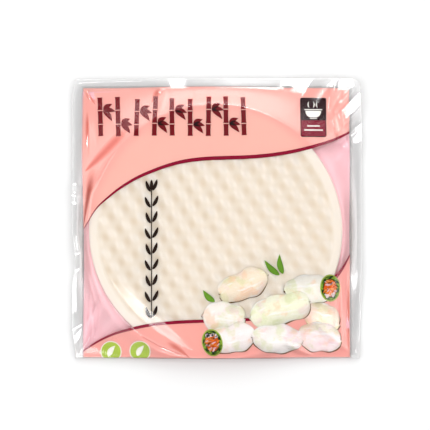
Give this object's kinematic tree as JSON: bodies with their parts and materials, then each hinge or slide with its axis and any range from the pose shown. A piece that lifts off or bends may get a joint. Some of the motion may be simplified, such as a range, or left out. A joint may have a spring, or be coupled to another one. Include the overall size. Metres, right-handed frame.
{
  "type": "sealed clear bag with a stack of round rice paper wrappers",
  "caption": "Flat sealed film bag lying on its back, printed coral above and below a wavy clear window, round a stack of round rice paper wrappers with a woven relief.",
  "frame": {"origin": "middle of the bag's outline, on the surface that the pack lies on", "axes": "+X to the right and +Y up as the bag's front is seen, from the folded end to the sealed end; +Z out of the front"},
  "size_m": [0.2528, 0.244, 0.0142],
  "materials": {
    "bag": "gloss",
    "clear_film": "gloss",
    "back_print": "gloss",
    "coral_print": "gloss",
    "crimson_print": "gloss",
    "dark_print": "gloss",
    "green_print": "gloss",
    "white_print": "gloss",
    "rice_paper": "satin"
  },
  "bodies": {
    "root": {"bag": "bag"}
  },
  "joints": []
}
